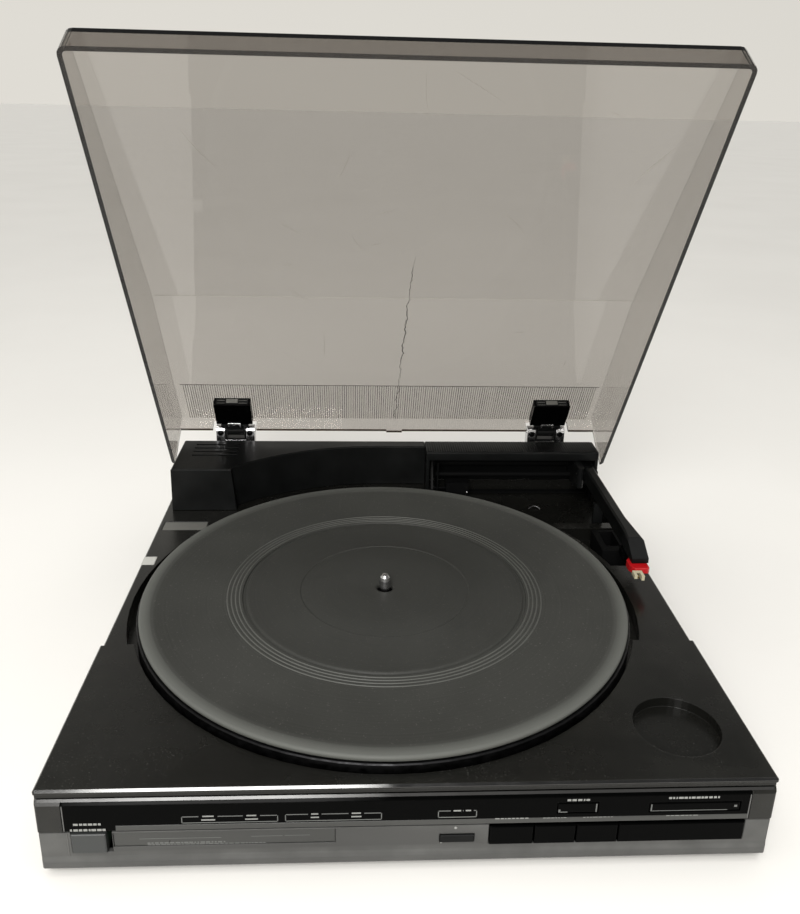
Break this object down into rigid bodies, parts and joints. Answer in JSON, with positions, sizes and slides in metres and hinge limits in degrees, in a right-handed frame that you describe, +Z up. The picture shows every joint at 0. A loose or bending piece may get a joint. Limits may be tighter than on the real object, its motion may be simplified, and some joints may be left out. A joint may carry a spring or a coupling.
{
  "type": "turntable",
  "caption": "Compact linear-tracking record player with a tinted hinged dust cover, a round platter and a straight arm that slides along the rear.",
  "frame": {"origin": "on the table under the middle of the object's overall box, with the dust cover open", "axes": "+X to the user's right, +Y towards the back, +Z up"},
  "size_m": [0.3466, 0.3562, 0.3787],
  "materials": {
    "deck_black": "fine satin texture",
    "housing_black": "satin",
    "gloss_black": "polished",
    "case_grey": "satin",
    "mat_rubber": "matt, slightly dusty",
    "foot_rubber": "matt",
    "cast_metal": "dark satin",
    "steel": "polished",
    "dull_steel": "zinc plated",
    "board": "varnished circuit board",
    "copper": "enamelled copper wire",
    "magnet": "ferrite",
    "brass": "turned",
    "stylus_red": "moulded",
    "clear_guard": "translucent",
    "inlay_grey": "satin",
    "pad_grey": "textured",
    "pad_silver": "satin",
    "smoked": "clear smoked acrylic"
  },
  "bodies": {
    "cabinet": {"top_cabinet": "deck_black", "deck_strip_rear": "pad_grey", "deck_strip_side": "pad_silver", "base_tray": "case_grey", "front_inlay": "inlay_grey", "foot_front_left": "foot_rubber", "foot_front_right": "foot_rubber", "foot_rear_left": "foot_rubber", "foot_rear_right": "foot_rubber", "display_strip": "gloss_black", "key_board": "board", "main_board": "board", "transformer_core": "dull_steel", "transformer_coil": "copper", "signal_jack_left": "brass", "signal_jack_right": "brass", "power_inlet": "housing_black", "bearing_housing": "brass", "motor_stator": "copper", "rear_housing": "housing_black", "arm_cover": "housing_black", "carriage_frame": "dull_steel", "guide_rod": "steel", "carriage_motor": "housing_black", "drive_belt": "foot_rubber", "arm_rest": "housing_black", "arm_post": "housing_black", "hinge_base_left": "steel", "hinge_bracket_left": "housing_black", "hinge_pin_left": "steel", "hinge_base_right": "steel", "hinge_bracket_right": "housing_black", "hinge_pin_right": "steel"},
    "platter_body": {"platter": "cast_metal", "platter_mat": "mat_rubber", "magnet_ring": "magnet", "spindle": "steel"},
    "lid_body": {"lid": "smoked", "hinge_socket_left": "gloss_black", "hinge_socket_right": "gloss_black", "hinge_arm_left": "housing_black", "hinge_arm_right": "housing_black"},
    "carriage_body": {"carriage": "housing_black", "arm_pivot_pin": "steel"},
    "arm_body": {"tonearm": "housing_black", "cartridge": "gloss_black", "stylus_holder": "stylus_red", "stylus": "brass"},
    "guard_body": {"stylus_guard": "clear_guard"},
    "screw_body": {"lead_screw": "brass"},
    "motor_shaft_body": {"motor_pulley": "brass"},
    "speed_key_body": {"speed_key": "gloss_black"},
    "size_key_body": {"size_key": "gloss_black"},
    "forward_key_body": {"forward_key": "gloss_black"},
    "cueing_key_body": {"cueing_key": "gloss_black"},
    "reverse_key_body": {"reverse_key": "gloss_black"},
    "play_cut_key_body": {"play_cut_key": "gloss_black"},
    "power_button_body": {"power_button": "case_grey"},
    "repeat_button_body": {"repeat_button": "housing_black"}
  },
  "joints": [
    {"name": "lid_hinge", "type": "hinge", "parent": "cabinet", "child": "lid_body", "pos_m": [0, 0.17328, 0.08946], "axis": [1, 0, 0], "range_deg": [0, 58.86]},
    {"name": "platter_spin", "type": "hinge", "parent": "cabinet", "child": "platter_body", "pos_m": [-0.0087, -0.01777, 0.05], "axis": [0, 0, 1], "continuous": true},
    {"name": "carriage_slide", "type": "slide", "parent": "cabinet", "child": "carriage_body", "axis": [-1, 0, 0], "range_m": [0, 0.1082]},
    {"name": "arm_lift", "type": "hinge", "parent": "carriage_body", "child": "arm_body", "pos_m": [0.1575, 0.12793, 0.071], "axis": [1, 0, 0], "range_deg": [0, 1.15]},
    {"name": "guard_flip", "type": "hinge", "parent": "arm_body", "child": "guard_body", "pos_m": [0.1543, -0.01328, 0.0644], "axis": [-1, 0, 0], "range_deg": [0, 60]},
    {"name": "screw_spin", "type": "hinge", "parent": "cabinet", "child": "screw_body", "pos_m": [0.1, 0.15632, 0.068], "axis": [-1, 0, 0], "range_deg": [0, 3899.2]},
    {"name": "motor_spin", "type": "hinge", "parent": "cabinet", "child": "motor_shaft_body", "pos_m": [0.045, 0.14693, 0.0495], "axis": [-1, 0, 0], "range_deg": [0, 7018.56]},
    {"name": "speed_press", "type": "slide", "parent": "cabinet", "child": "speed_key_body", "axis": [0, 1, 0], "range_m": [0, 0.0006], "stiffness_N_per_m": 200},
    {"name": "size_press", "type": "slide", "parent": "cabinet", "child": "size_key_body", "axis": [0, 1, 0], "range_m": [0, 0.0006], "stiffness_N_per_m": 200},
    {"name": "forward_press", "type": "slide", "parent": "cabinet", "child": "forward_key_body", "axis": [0, 1, 0], "range_m": [0, 0.002], "stiffness_N_per_m": 200},
    {"name": "cueing_press", "type": "slide", "parent": "cabinet", "child": "cueing_key_body", "axis": [0, 1, 0], "range_m": [0, 0.002], "stiffness_N_per_m": 200},
    {"name": "reverse_press", "type": "slide", "parent": "cabinet", "child": "reverse_key_body", "axis": [0, 1, 0], "range_m": [0, 0.002], "stiffness_N_per_m": 200},
    {"name": "play_cut_press", "type": "slide", "parent": "cabinet", "child": "play_cut_key_body", "axis": [0, 1, 0], "range_m": [0, 0.002], "stiffness_N_per_m": 200},
    {"name": "power_press", "type": "slide", "parent": "cabinet", "child": "power_button_body", "axis": [0, 1, 0], "range_m": [0, 0.0025], "stiffness_N_per_m": 200},
    {"name": "repeat_press", "type": "slide", "parent": "cabinet", "child": "repeat_button_body", "axis": [0, 1, 0], "range_m": [0, 0.0015], "stiffness_N_per_m": 200}
  ],
  "couplings": [
    {"joint": "screw_spin", "follows": "carriage_slide", "rad_per_m": 628.32},
    {"joint": "motor_spin", "follows": "carriage_slide", "rad_per_m": 1131}
  ]
}
